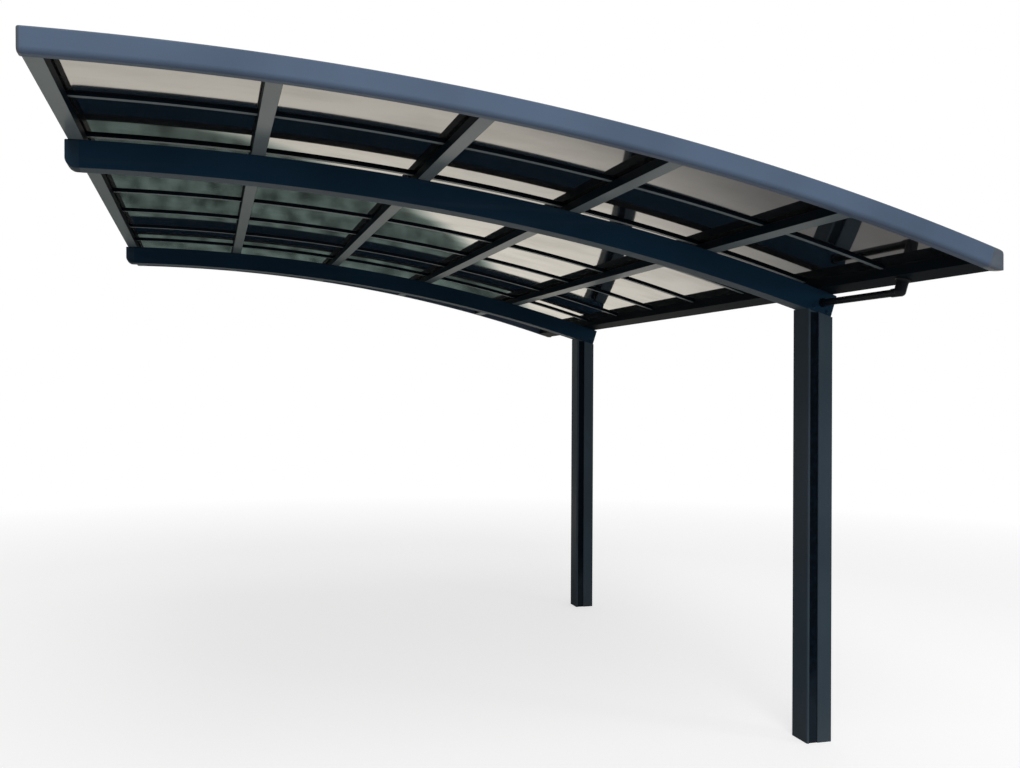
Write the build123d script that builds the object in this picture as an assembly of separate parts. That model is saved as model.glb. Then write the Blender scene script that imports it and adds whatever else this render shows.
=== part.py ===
"""A one-sided carport: two posts carry two arched beams, and the beams carry an arched roof of
tinted panels. Millimetres, +Z up, +Y to the rear, -X towards the free edge of the roof.
The origin is the middle of the front post's foot, on the ground."""
from build123d import *
import os
from math import cos, degrees, sin, sqrt

# Main sizes
ROOF_LENGTH = 5400.0       # front to rear, over the fascias
ROOF_ARC = 3435.0          # free edge to gutter, measured round the tops of the beams
CROWN_INSET = 138.0        # free edge to the highest line of the arch, measured in the same way
ARCH_RADIUS = 10750.0      # underside of the beams
CLEAR_HEIGHT = 2050.0      # ground to the underside of a beam, at the inner face of its post
POST_SPACING = 3160.0      # middle of the front post to middle of the rear post

# Posts: square extrusions with a shadow groove in the front and rear faces
POST_SIZE = 132.0
POST_EDGE = 5.0            # rounding of the four long edges
GROOVE_WIDTH = 44.0
GROOVE_DEPTH = 12.0
GROOVE_INSET = 12.0        # inner face of the post to the near side of the groove

# Beams: box extrusions bent to the arch, with a rounded nose at the tip and a flat cap at the heel
BEAM_WIDTH = 100.0
BEAM_DEPTH = 110.0
BEAM_EDGE = 4.0
TIP_REACH = 12.0           # nose past the free edge of the roof
TIP_LENGTH = 52.0
TIP_ROUND = 40.0           # rounding of the nose's lower edge
HEEL_REACH = 20.0          # beam past the gutter
HEEL_CAP = 6.0
HEEL_CAP_EDGE = 2.5

# Straight members that lie along the roof, on top of the beams
PURLIN_COUNT = 4           # at equal steps between the edge rail and the heels of the beams
PURLIN_WIDTH = 56.0
PURLIN_DEPTH = 40.0
PURLIN_EDGE = 3.0
RAIL_WIDTH = 58.0
RAIL_WALL = 5.0            # upstand and lip of the edge rail
RAIL_LIP = 26.0            # reach of the lip over the panels

# Roof panels, and the H-section battens that hold their long edges
PANEL_COUNT = 9
PANEL_THICKNESS = 3.0
PANEL_BITE = 18.0          # how far a panel reaches into the fascia
PANEL_EDGE_GAP = 3.0       # room for a panel to grow, at each of its edges
SLOT_PLAY = 0.3            # height of a slot over the panel in it
SEAT_PLAY = 0.1            # a flat member under a curved one
CARRIER_WIDTH = 48.0
CARRIER_DEPTH = 10.0
WEB_WIDTH = 6.0
COVER_WIDTH = 40.0
COVER_DEPTH = 8.0
COVER_EDGE = 2.5

# Fascias: curved edge sections over both ends of the roof
FASCIA_HEIGHT = 78.0
FASCIA_DEPTH = 45.0
FASCIA_NOSE = 8.0          # rounding of the face's top edge
FASCIA_CHIN = 18.0         # rounding of the face's lower edge
FASCIA_CAP = 10.0
FASCIA_CAP_EDGE = 6.0

# Gutter: an open channel along the ends of the beams, and its drain
GUTTER_WIDTH = 90.0
GUTTER_WALL = 3.0
GUTTER_HEIGHT = 70.0
GUTTER_LIP = 12.0
GUTTER_DRIP = 22.0         # panels past the inner wall of the gutter
OUTLET_INSET = 455.0       # front end of the gutter to the middle of the outlet
OUTLET_DIAMETER = 50.0
OUTLET_LENGTH = 74.0
OUTLET_EDGE = 10.0
OUTLET_FLANGE = 8.0        # how far the flange under the gutter floor stands out
OUTLET_FLANGE_DEPTH = 4.0
PIPE_DIAMETER = 29.0
PIPE_DROP = 57.0           # gutter floor to the middle of the pipe

# The arch, worked out from the sizes above: lengths round it run from the free edge to the gutter
BEAM_TOP = ARCH_RADIUS + BEAM_DEPTH
BEAM_START_ARC = TIP_LENGTH - TIP_REACH
BEAM_END_ARC = ROOF_ARC + HEEL_REACH
HEEL_ANGLE = (BEAM_END_ARC - CROWN_INSET) / BEAM_TOP
CROWN_X = POST_SIZE / 2 - ARCH_RADIUS * sin(HEEL_ANGLE)
CENTRE_Z = CLEAR_HEIGHT - sqrt(ARCH_RADIUS**2 - (CROWN_X + POST_SIZE / 2) ** 2)
ARCH_AXIS = Axis((CROWN_X, 0, CENTRE_Z), (0, 1, 0))

# Levels over the tops of the beams
CARRIER_LEVEL = PURLIN_DEPTH + SEAT_PLAY
PANEL_LEVEL = CARRIER_LEVEL + CARRIER_DEPTH
COVER_LEVEL = PANEL_LEVEL + PANEL_THICKNESS + SLOT_PLAY

# Places along the roof
FRONT_Y = (POST_SPACING - ROOF_LENGTH) / 2
REAR_Y = FRONT_Y + ROOF_LENGTH
FRONT_INNER_Y = FRONT_Y + FASCIA_DEPTH
REAR_INNER_Y = REAR_Y - FASCIA_DEPTH
PANEL_PITCH = ROOF_LENGTH / PANEL_COUNT
GUTTER_ARC = ROOF_ARC - GUTTER_WIDTH / 2
PURLIN_STEP = (BEAM_END_ARC - RAIL_WIDTH / 2) / (PURLIN_COUNT + 1)
GUTTER_INNER_ARC = ROOF_ARC - GUTTER_WIDTH
PANEL_START_ARC = RAIL_WALL + PANEL_EDGE_GAP
PANEL_END_ARC = GUTTER_INNER_ARC + GUTTER_WALL + GUTTER_DRIP
BATTEN_START_ARC = RAIL_LIP + PANEL_EDGE_GAP
BATTEN_END_ARC = GUTTER_INNER_ARC - PANEL_EDGE_GAP


def slope(arc):
    """Fall of the roof, as an angle, at a place measured round the arch from the free edge."""
    return (arc - CROWN_INSET) / BEAM_TOP


def arch_plane(arc):
    """Plane across the arch: its x runs to the rear, its y is the distance from the arch's axis."""
    angle = slope(arc)
    return Plane((CROWN_X, 0, CENTRE_Z), x_dir=(0, 1, 0), z_dir=(cos(angle), 0, -sin(angle)))


def along_arch(profile, start_arc, end_arc):
    """Bend a profile, drawn as (rearward, distance over the beams' tops), round part of the arch."""
    section = arch_plane(start_arc) * Pos(0, BEAM_TOP) * profile
    return revolve(section, ARCH_AXIS, degrees((end_arc - start_arc) / BEAM_TOP))


def along_roof(profile, arc, start_y, end_y):
    """Run a profile, drawn as (along the slope, distance over the beams' tops), along the roof."""
    angle = slope(arc)
    seat = (CROWN_X + BEAM_TOP * sin(angle), end_y, CENTRE_Z + BEAM_TOP * cos(angle))
    plane = Plane(seat, x_dir=(cos(angle), 0, -sin(angle)), z_dir=(0, -1, 0))
    return extrude(plane * profile, end_y - start_y)


def bar(left, right, low, high, edge=0.0):
    """A rectangular profile between four limits, with rounded corners where an edge is given."""
    width = right - left
    height = high - low
    shape = RectangleRounded(width, height, edge) if edge else Rectangle(width, height)
    return Pos((left + right) / 2, (low + high) / 2) * shape


def round_corner(shape, across, up, radius):
    """Round the one corner of a profile that lies nearest to a point."""
    corner = shape.vertices().sort_by_distance((across, up, 0))[0]
    return fillet(corner, radius)


def post(middle_y):
    """A post, cut at its top to the curve of the beam that lies on it."""
    half = POST_SIZE / 2
    section = RectangleRounded(POST_SIZE, POST_SIZE, POST_EDGE)
    for side in (-1, 1):
        left = GROOVE_INSET - half
        bottom = half - GROOVE_DEPTH
        groove = bar(left, left + GROOVE_WIDTH, bottom, half + GROOVE_DEPTH)
        section -= groove if side > 0 else mirror(groove, Plane.XZ)
    blank = extrude(Pos(0, middle_y) * section, CLEAR_HEIGHT)
    drum = Cylinder(ARCH_RADIUS, POST_SIZE * 2, rotation=(90, 0, 0))
    return blank & Pos(CROWN_X, middle_y, CENTRE_Z) * drum


def beam_profile(middle_y):
    half = BEAM_WIDTH / 2
    return bar(middle_y - half, middle_y + half, -BEAM_DEPTH, 0, BEAM_EDGE)


def beam(middle_y):
    return along_arch(beam_profile(middle_y), BEAM_START_ARC, BEAM_END_ARC - HEEL_CAP)


def tip_cap(middle_y):
    """The moulded nose over the tip of a beam, rounded below and along its two sides."""
    half = BEAM_WIDTH / 2
    side = round_corner(bar(-TIP_LENGTH, 0, -BEAM_DEPTH, -SEAT_PLAY), -TIP_LENGTH, -BEAM_DEPTH, TIP_ROUND)
    nose = along_roof(side, BEAM_START_ARC, middle_y - half, middle_y + half)
    joint = arch_plane(BEAM_START_ARC)
    rims = [
        edge
        for edge in nose.edges()
        if abs(abs(edge.center().Y - middle_y) - half) < SEAT_PLAY
        and abs(joint.to_local_coords(edge.center()).Z) > BEAM_EDGE
    ]
    return fillet(rims, BEAM_EDGE)


def heel_cap(middle_y):
    """The flat cap over the heel of a beam, with its outer edges rounded off."""
    cap = along_arch(beam_profile(middle_y), BEAM_END_ARC - HEEL_CAP, BEAM_END_ARC)
    outer = arch_plane(BEAM_END_ARC)
    rim = [edge for edge in cap.edges() if abs(outer.to_local_coords(edge.center()).Z) < HEEL_CAP_EDGE]
    return fillet(rim, HEEL_CAP_EDGE)


def purlin(arc):
    half = PURLIN_WIDTH / 2
    return along_roof(bar(-half, half, 0, PURLIN_DEPTH, PURLIN_EDGE), arc, FRONT_INNER_Y, REAR_INNER_Y)


def edge_rail():
    """The outermost member: a purlin whose upstand and lip close the free edge of the panels."""
    half = RAIL_WIDTH / 2
    lip_level = COVER_LEVEL + SEAT_PLAY
    profile = bar(-half, half, 0, PURLIN_DEPTH)
    profile += bar(-half, RAIL_WALL - half, 0, lip_level + RAIL_WALL)
    profile += bar(-half, RAIL_LIP - half, lip_level, lip_level + RAIL_WALL)
    return along_roof(profile, half, FRONT_INNER_Y, REAR_INNER_Y)


def gutter():
    """An open channel: the inner wall ends under the panels, the outer wall has a lip."""
    half = GUTTER_WIDTH / 2
    profile = bar(-half, half, 0, GUTTER_WALL)
    profile += bar(-half, GUTTER_WALL - half, 0, PANEL_LEVEL - SLOT_PLAY)
    profile += bar(half - GUTTER_WALL, half, 0, GUTTER_HEIGHT)
    profile += bar(half - GUTTER_LIP, half, GUTTER_HEIGHT - GUTTER_WALL, GUTTER_HEIGHT)
    return along_roof(profile, GUTTER_ARC, FRONT_INNER_Y, REAR_INNER_Y)


def fascia_outline(outer_y, inwards):
    """Profile of a fascia, with the top and lower edges of its outer face rounded."""
    limits = sorted((outer_y, outer_y + inwards * FASCIA_DEPTH))
    outline = round_corner(bar(*limits, 0, FASCIA_HEIGHT), outer_y, FASCIA_HEIGHT, FASCIA_NOSE)
    return round_corner(outline, outer_y, 0, FASCIA_CHIN)


def fascia(outer_y, inwards):
    """A fascia, with the slot in its back for the end panel."""
    inner_y = outer_y + inwards * FASCIA_DEPTH
    slot_y = inner_y - inwards * (PANEL_BITE + PANEL_EDGE_GAP)
    slot = bar(*sorted((slot_y, inner_y)), PANEL_LEVEL, COVER_LEVEL)
    return along_arch(fascia_outline(outer_y, inwards) - slot, 0, ROOF_ARC)


def fascia_cap(outer_y, inwards, start_arc, outer_arc):
    """The rounded cap that closes one end of a fascia."""
    cap = along_arch(fascia_outline(outer_y, inwards), start_arc, start_arc + FASCIA_CAP)
    outer = arch_plane(outer_arc)
    rim = [edge for edge in cap.edges() if abs(outer.to_local_coords(edge.center()).Z) < FASCIA_CAP_EDGE]
    return fillet(rim, FASCIA_CAP_EDGE)


def batten(middle_y):
    """An H-section: carrier under the panels, web between them, snap-on cover over them."""
    carrier_half = CARRIER_WIDTH / 2
    web_half = WEB_WIDTH / 2
    cover_half = COVER_WIDTH / 2
    profile = bar(middle_y - carrier_half, middle_y + carrier_half, CARRIER_LEVEL, PANEL_LEVEL)
    profile += bar(middle_y - web_half, middle_y + web_half, CARRIER_LEVEL, COVER_LEVEL + COVER_DEPTH / 2)
    profile += bar(
        middle_y - cover_half, middle_y + cover_half, COVER_LEVEL, COVER_LEVEL + COVER_DEPTH, COVER_EDGE
    )
    return along_arch(profile, BATTEN_START_ARC, BATTEN_END_ARC)


def panel(number):
    """One curved sheet between two battens, or between a batten and a fascia."""
    edge = WEB_WIDTH / 2 + PANEL_EDGE_GAP
    start_y = FRONT_Y + (number - 1) * PANEL_PITCH + edge
    end_y = FRONT_Y + number * PANEL_PITCH - edge
    if number == 1:
        start_y = FRONT_INNER_Y - PANEL_BITE
    if number == PANEL_COUNT:
        end_y = REAR_INNER_Y + PANEL_BITE
    sheet = bar(start_y, end_y, PANEL_LEVEL, PANEL_LEVEL + PANEL_THICKNESS)
    return along_arch(sheet, PANEL_START_ARC, PANEL_END_ARC)


def under_gutter():
    """Plane on the gutter's underside at the outlet: its x runs to the rear, its z points down."""
    angle = slope(GUTTER_ARC)
    seat = (
        CROWN_X + BEAM_TOP * sin(angle),
        FRONT_INNER_Y + OUTLET_INSET,
        CENTRE_Z + BEAM_TOP * cos(angle),
    )
    return Plane(seat, x_dir=(0, 1, 0), z_dir=(-sin(angle), 0, -cos(angle)))


def drain_outlet():
    """A moulded cup under the gutter floor, with a flange round its mouth and a rounded bottom."""
    cup = extrude(Circle(OUTLET_DIAMETER / 2), OUTLET_LENGTH)
    cup = fillet(cup.faces().sort_by(Axis.Z)[-1].edges(), OUTLET_EDGE)
    flange = extrude(Circle(OUTLET_DIAMETER / 2 + OUTLET_FLANGE), OUTLET_FLANGE_DEPTH)
    return under_gutter() * (cup + flange)


def drain_pipe():
    """The pipe from the side of the outlet to the front face of the front beam."""
    reach = -BEAM_WIDTH / 2 - FRONT_INNER_Y - OUTLET_INSET
    rod = extrude(Plane.YZ * Circle(PIPE_DIAMETER / 2), reach)
    core = Cylinder(OUTLET_DIAMETER / 2, OUTLET_LENGTH * 2)
    return under_gutter() * (Pos(0, 0, PIPE_DROP) * rod - core)


os.makedirs("parts", exist_ok=True)
pieces = {}

ends = {"front": (0, FRONT_Y, 1), "rear": (POST_SPACING, REAR_Y, -1)}
for end, (post_y, fascia_y, inwards) in ends.items():
    pieces[f"{end}_post"] = post(post_y)
    pieces[f"{end}_beam"] = beam(post_y)
    pieces[f"{end}_beam_tip_cap"] = tip_cap(post_y)
    pieces[f"{end}_beam_heel_cap"] = heel_cap(post_y)
    pieces[f"{end}_fascia"] = fascia(fascia_y, inwards)
    pieces[f"{end}_fascia_edge_cap"] = fascia_cap(fascia_y, inwards, -FASCIA_CAP, -FASCIA_CAP)
    pieces[f"{end}_fascia_gutter_cap"] = fascia_cap(fascia_y, inwards, ROOF_ARC, ROOF_ARC + FASCIA_CAP)

pieces["edge_rail"] = edge_rail()
for number in range(1, PURLIN_COUNT + 1):
    pieces[f"purlin_{number}"] = purlin(RAIL_WIDTH / 2 + number * PURLIN_STEP)
pieces["gutter"] = gutter()
pieces["drain_outlet"] = drain_outlet()
pieces["drain_pipe"] = drain_pipe()

for number in range(1, PANEL_COUNT):
    pieces[f"batten_{number}"] = batten(FRONT_Y + number * PANEL_PITCH)
for number in range(1, PANEL_COUNT + 1):
    pieces[f"panel_{number}"] = panel(number)

for name, piece in pieces.items():
    export_step(piece, f"parts/{name}.step")
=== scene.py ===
from math import atan2, cos, pi, radians, sin, sqrt

import bmesh
import bpy
from mathutils import Matrix, Vector


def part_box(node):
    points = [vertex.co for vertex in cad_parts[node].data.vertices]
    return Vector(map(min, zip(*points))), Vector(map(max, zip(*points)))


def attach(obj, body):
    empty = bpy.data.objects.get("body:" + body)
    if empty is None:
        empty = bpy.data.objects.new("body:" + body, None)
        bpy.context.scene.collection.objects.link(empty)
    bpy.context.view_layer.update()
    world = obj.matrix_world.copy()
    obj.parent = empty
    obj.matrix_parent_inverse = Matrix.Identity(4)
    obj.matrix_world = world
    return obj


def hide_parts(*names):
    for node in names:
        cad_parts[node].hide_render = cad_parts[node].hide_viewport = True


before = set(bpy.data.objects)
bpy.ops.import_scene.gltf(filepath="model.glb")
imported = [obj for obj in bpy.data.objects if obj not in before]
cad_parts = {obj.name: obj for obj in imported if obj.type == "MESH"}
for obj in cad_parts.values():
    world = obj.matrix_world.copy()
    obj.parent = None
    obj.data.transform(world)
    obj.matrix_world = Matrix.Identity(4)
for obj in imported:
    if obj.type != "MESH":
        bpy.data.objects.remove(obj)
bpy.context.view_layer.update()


# Posts
# Two square aluminium extrusions, powder coated, that stand on footings along one side of the roof.
# A groove runs up the front and rear faces, with a black strip laid in it as painted shade, and the
# tops are sawn to the slope of the beams.
ARCH_RADIUS = 10.75          # underside of the beams
BEAM_DEPTH = 0.110
BEAM_END = 3.455             # heel of the beams, round their tops from the free edge of the roof
CROWN_INSET = 0.138          # highest line of the arch, measured in the same way
POST_EDGE = 0.005
GROOVE_WIDTH = 0.044
GROOVE_DEPTH = 0.012
GROOVE_INSET = 0.012         # inner face of the post to the groove
GROOVE_LIP = 0.0015
GROOVE_SHADE_DEPTH = 0.007
GROOVE_SHADE_PLAY = 0.0006
GROOVE_SHADE_EDGE = 0.002
SAW_ALLOWANCE = 0.05
MERGE_DISTANCE = 0.00001
POST_TONE = (0.035, 0.052, 0.068, 1)
POST_SOIL_HEIGHT = 0.35
POST_STREAKS = (1, 1, 0.03)  # how far rain draws out the grain: a small factor along an axis
LYING_DUST = 0.55            # thickest dust on top sides, as a share of its tone
RAIN_STREAKS = 0.06          # the same in streaks
SPLASHED_SOIL = 0.12         # the same on coated metal near the ground
RUBBER_SOIL = 0.35           # the same on rubber near the ground
DUST_TONE = (0.16, 0.155, 0.145, 1)
# painted light thrown up from the ground, laid on the undersides of beams and purlins
PAINTED_BOUNCE_TONE = (0.25, 0.295, 0.305, 1)
# black rubber, and also the black strip laid in the post grooves as painted shade
RUBBER_AND_SHADE_TONE = (0.002, 0.0045, 0.008, 1)

post_low, post_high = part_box("front_post")
BEAM_TOP = ARCH_RADIUS + BEAM_DEPTH
CROWN_X = post_high.x - ARCH_RADIUS * sin((BEAM_END - CROWN_INSET) / BEAM_TOP)
CENTRE_Z = post_high.z - sqrt(ARCH_RADIUS**2 - (post_low.x - CROWN_X) ** 2)


class Wire:
    """One socket of a material. Sums of wires add Math nodes, and add() places any other node."""

    def __init__(self, tree, socket=None):
        self.tree = tree
        self.socket = socket

    def join(self, node, values):
        for name, value in values.items():
            match = [s for s in node.inputs if s.enabled and name in (s.name, s.identifier)]
            socket = match[0] if match else node.inputs[name]
            if isinstance(value, Wire):
                self.tree.links.new(value.socket, socket)
            else:
                socket.default_value = value

    def add(self, kind, settings, values, result):
        node = self.tree.nodes.new(kind)
        for name, value in settings.items():
            setattr(node, name, value)
        self.join(node, values)
        return Wire(self.tree, [s for s in node.outputs if s.enabled and s.name == result][0])

    def maths(self, operation, first, second):
        return self.add("ShaderNodeMath", {"operation": operation}, {0: first, 1: second}, "Value")

    def __add__(self, other):
        return self.maths("ADD", self, other)

    def __sub__(self, other):
        return self.maths("SUBTRACT", self, other)

    def __rsub__(self, other):
        return self.maths("SUBTRACT", other, self)

    def __mul__(self, other):
        return self.maths("MULTIPLY", self, other)

    __radd__ = __add__
    __rmul__ = __mul__


def new_finish(name, constants):
    """A material with its fixed values set on the shader, and an empty wire to build on."""
    material = bpy.data.materials.new(name)
    material.use_nodes = True
    shader = material.node_tree.nodes["Principled BSDF"]
    wire = Wire(material.node_tree)
    wire.join(shader, constants)
    return material, shader, wire


def grain(wire, place, scale, detail, stretch=(1, 1, 1)):
    """Noise in object space, drawn out along an axis by a small factor there."""
    drawn_out = wire.add("ShaderNodeMapping", {}, {"Vector": place, "Scale": stretch}, "Vector")
    values = {"Vector": drawn_out, "Scale": scale, "Detail": detail}
    return wire.add("ShaderNodeTexNoise", {}, values, "Fac")


def band(wire, value, low, high):
    """0 below one value, 1 above another, and a straight ramp between them."""
    limits = {"Value": value, "From Min": low, "From Max": high}
    return wire.add("ShaderNodeMapRange", {"clamp": True}, limits, "Result")


def blend(wire, share, first, second):
    """A colour between two, by the share of the second."""
    colours = {"Factor": share, "A": first, "B": second}
    return wire.add("ShaderNodeMix", {"data_type": "RGBA"}, colours, "Result")


def object_place(wire):
    """Where a point of the surface lies, in the frame's own metres."""
    return wire.add("ShaderNodeTexCoord", {}, {}, "Object")


def along_axis(wire, vector, axis):
    """One coordinate of a place or a direction."""
    return wire.add("ShaderNodeSeparateXYZ", {}, {"Vector": vector}, axis)


def facing_up(wire):
    """1 on level top sides, 0 on upright faces and -1 on undersides."""
    return along_axis(wire, wire.add("ShaderNodeNewGeometry", {}, {}, "Normal"), "Z")


def relief(wire, height, strength, depth):
    """Fine relief for the shader's normal, up to a depth in metres."""
    values = {"Height": height, "Strength": strength, "Distance": depth}
    return wire.add("ShaderNodeBump", {}, values, "Normal")


def scaled(tone, factor):
    """A paler or darker shade of a tone."""
    return tuple(factor * channel for channel in tone[:3]) + (1,)


def powder_coat(name, tone, streaks, shine, roughness, soil_height=0.0, painted_bounce=0.0, gloss_under=0.0):
    """Powder coat: orange peel, slow drifts of tone, rain streaks, and dust where it can lie.

    The underside may be painted paler, as painted light thrown up by the ground, and keep more of its
    gloss."""
    gloss = {"Specular IOR Level": shine, "Coat IOR": 1.4, "Coat Roughness": 0.22}
    material, shader, wire = new_finish(name, gloss)
    place = object_place(wire)
    up = facing_up(wire)
    drift = grain(wire, place, scale=1.6, detail=3)
    peel = grain(wire, place, scale=520, detail=2)
    runs = grain(wire, place, scale=26, detail=4, stretch=streaks)
    speck = grain(wire, place, scale=90, detail=5)
    lying = band(wire, up, 0.35, 0.95) * band(wire, speck + drift, 0.75, 1.25) * LYING_DUST
    dust = band(wire, runs, 0.55, 0.8) * RAIN_STREAKS + lying
    if soil_height:
        height = along_axis(wire, place, "Z")
        dust = dust + (1 - band(wire, height + speck * 0.2, 0.06, soil_height)) * SPLASHED_SOIL
    colour = blend(wire, band(wire, drift, 0.3, 0.7), tone, scaled(tone, 1.4))
    colour = blend(wire, dust, colour, DUST_TONE)
    # Painted light: undersides are blended towards a pale tone for the light the ground throws up at them.
    if painted_bounce:
        downward_faces = band(wire, 0 - up, 0.6, 0.95)
        colour = blend(wire, downward_faces * (painted_bounce - 0.15 + drift * 0.3), colour, PAINTED_BOUNCE_TONE)
        if gloss_under:
            wire.join(shader, {"Coat Weight": downward_faces * gloss_under})
    rough = roughness - 0.04 + drift * 0.08 + dust * 0.5
    bump = relief(wire, peel, strength=0.06, depth=0.001)
    wire.join(shader, {"Base Color": colour, "Roughness": rough, "Normal": bump})
    return material


def rubber(name, tone):
    """Black weather rubber: matt, with a faint bloom, and soil thrown up on it near the ground."""
    material, shader, wire = new_finish(name, {"Specular IOR Level": 0.06})
    place = object_place(wire)
    height = along_axis(wire, place, "Z")
    bloom = grain(wire, place, scale=40, detail=4)
    splash = grain(wire, place, scale=16, detail=4)
    soil = (1 - band(wire, height + splash * 0.3, 0.3, 0.55)) * RUBBER_SOIL
    colour = blend(wire, band(wire, bloom, 0.45, 0.8), tone, scaled(tone, 2.2))
    colour = blend(wire, soil, colour, POST_TONE)
    bump = relief(wire, bloom, strength=0.1, depth=0.0005)
    wire.join(shader, {"Base Color": colour, "Roughness": 0.62 + bloom * 0.2, "Normal": bump})
    return material


def draw_line(name, points):
    """Start a piece: a plane is merged to one vertex and drawn out from point to point."""
    bpy.ops.object.select_all(action="DESELECT")
    bpy.ops.mesh.primitive_plane_add(size=1)
    bpy.context.object.name = name
    bpy.ops.object.mode_set(mode="EDIT")
    bpy.ops.mesh.select_mode(type="VERT")
    bpy.ops.mesh.merge(type="CENTER")
    bpy.ops.transform.translate(value=points[0])
    for before, after in zip(points, points[1:]):
        bpy.ops.mesh.extrude_vertices_move(TRANSFORM_OT_translate={"value": after - before})
    bpy.ops.mesh.select_all(action="SELECT")


def draw(name, points):
    """Start a piece with its section: the outline is drawn and filled."""
    draw_line(name, points)
    bpy.ops.mesh.edge_face_add()


def pick(kind, test):
    """Select the vertices, edges or faces of the piece in hand that pass a test."""
    bpy.ops.mesh.select_mode(type=kind)
    bpy.ops.mesh.select_all(action="DESELECT")
    mesh = bmesh.from_edit_mesh(bpy.context.object.data)
    for part in {"VERT": mesh.verts, "EDGE": mesh.edges, "FACE": mesh.faces}[kind]:
        if test(part):
            part.select_set(True)
    mesh.select_flush_mode()
    bmesh.update_edit_mesh(bpy.context.object.data)


def round_corners(radius, segments, test):
    """Round the corners of a drawn section, or the vertices of it that pass a test."""
    pick("VERT", test)
    bpy.ops.mesh.bevel(offset=radius, offset_type="OFFSET", segments=segments, affect="VERTICES")


def pull(shift):
    """Extrude all of the section in hand along a straight line."""
    bpy.ops.mesh.select_all(action="SELECT")
    bpy.ops.mesh.extrude_region_move(TRANSFORM_OT_translate={"value": shift})


def settle(soft_below=40):
    """Close the piece in hand: doubles merged, faces outwards, shading soft below an angle."""
    bpy.ops.mesh.select_all(action="SELECT")
    bpy.ops.mesh.remove_doubles(threshold=MERGE_DISTANCE)
    bpy.ops.mesh.normals_make_consistent(inside=False)
    bpy.ops.object.mode_set(mode="OBJECT")
    bpy.ops.object.shade_smooth_by_angle(angle=radians(soft_below))
    bpy.ops.object.modifier_add(type="WEIGHTED_NORMAL")
    bpy.context.object.modifiers[-1].keep_sharp = True
    bpy.ops.object.modifier_apply(modifier=bpy.context.object.modifiers[-1].name)
    return bpy.context.object


def bar(name, middle, size, edge, segments, fall=0.0):
    """A straight bar: a cube is set to size and place, and its long edges are rounded."""
    bpy.ops.object.select_all(action="DESELECT")
    bpy.ops.mesh.primitive_cube_add(size=1, location=middle, rotation=(0, fall, 0))
    bpy.context.object.name = name
    bpy.context.object.scale = size
    bpy.ops.object.transform_apply(location=True, rotation=True, scale=True)
    bpy.ops.object.mode_set(mode="EDIT")
    pick("EDGE", lambda e: e.calc_length() > max(size) / 2)
    bpy.ops.mesh.bevel(offset=edge, segments=segments, affect="EDGES")
    return settle()


def joined(pieces):
    """Like pieces made one object, under the name of the first."""
    bpy.ops.object.select_all(action="DESELECT")
    for piece in pieces:
        piece.select_set(True)
    bpy.context.view_layer.objects.active = pieces[0]
    bpy.ops.object.join()
    return pieces[0]


def copy_of(piece, name, move):
    """A copy of a finished piece, with its own mesh and its place in that mesh."""
    twin = piece.copy()
    twin.data = piece.data.copy()
    twin.name = name
    bpy.context.collection.objects.link(twin)
    twin.data.transform(move)
    return twin


def fit(piece, finish, slot, *nodes):
    """Give a finished piece its material and its place on the frame."""
    piece.data.materials.clear()
    piece.data.materials.append(finish)
    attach(piece, "root")
    if nodes:
        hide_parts(*nodes)


def at(value, choices):
    """Whether a coordinate is one of a few."""
    return any(abs(value - choice) < MERGE_DISTANCE for choice in choices)


def under_beam(x):
    """Height of the underside of the beams over the ground."""
    return CENTRE_Z + sqrt(ARCH_RADIUS**2 - (x - CROWN_X) ** 2)


POST_SHIFT = Matrix.Translation(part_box("rear_post")[0] - post_low)
groove_left = post_low.x + GROOVE_INSET
groove_right = groove_left + GROOVE_WIDTH

corners = []
for face_y, inwards in ((post_low.y, GROOVE_DEPTH), (post_high.y, -GROOVE_DEPTH)):
    side = [(post_low.x, face_y), (groove_left, face_y), (groove_left, face_y + inwards)]
    side += [(groove_right, face_y + inwards), (groove_right, face_y), (post_high.x, face_y)]
    corners += side if inwards > 0 else side[::-1]
draw("post_front", [Vector((x, y, 0)) for x, y in corners])
outer_xs = (post_low.x, post_high.x)
lip_xs = (groove_left, groove_right)
face_ys = (post_low.y, post_high.y)
round_corners(POST_EDGE, segments=4, test=lambda v: at(v.co.x, outer_xs))
round_corners(GROOVE_LIP, segments=2, test=lambda v: at(v.co.x, lip_xs) and at(v.co.y, face_ys))
pull((0, 0, post_high.z + SAW_ALLOWANCE))
inner_top = Vector((post_low.x, 0, under_beam(post_low.x)))
outer_top = Vector((post_high.x, 0, under_beam(post_high.x)))
saw = (outer_top - inner_top).cross(Vector((0, -1, 0)))
bpy.ops.mesh.select_all(action="SELECT")
bpy.ops.mesh.bisect(plane_co=inner_top, plane_no=saw, use_fill=True, clear_inner=True)
post = settle()

# Painted shade: a black strip at the bottom of each groove stands in for the shade in it.
strip_top = under_beam(groove_right) - GROOVE_SHADE_PLAY
strip_x = (groove_left + groove_right) / 2
strip_size = (GROOVE_WIDTH - 2 * GROOVE_SHADE_PLAY, GROOVE_SHADE_DEPTH, strip_top)
strips = []
for strip_front in (post_low.y + GROOVE_DEPTH - GROOVE_SHADE_DEPTH, post_high.y - GROOVE_DEPTH):
    middle = (strip_x, strip_front + GROOVE_SHADE_DEPTH / 2, strip_top / 2)
    strips.append(bar("post_groove_shade_front", middle, strip_size, GROOVE_SHADE_EDGE, segments=3))
groove_shade = joined(strips)

post_coat = powder_coat("post_coat", POST_TONE, POST_STREAKS, shine=0.08, roughness=0.45,
                        soil_height=POST_SOIL_HEIGHT)
rubber_finish = rubber("black_rubber", RUBBER_AND_SHADE_TONE)
rear_post = copy_of(post, "post_rear", POST_SHIFT)
rear_groove_shade = copy_of(groove_shade, "post_groove_shade_rear", POST_SHIFT)
for end, piece, strip_piece in (("front", post, groove_shade), ("rear", rear_post, rear_groove_shade)):
    fit(piece, post_coat, "coated_aluminium", f"{end}_post")
    fit(strip_piece, rubber_finish, "coated_aluminium")


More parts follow.
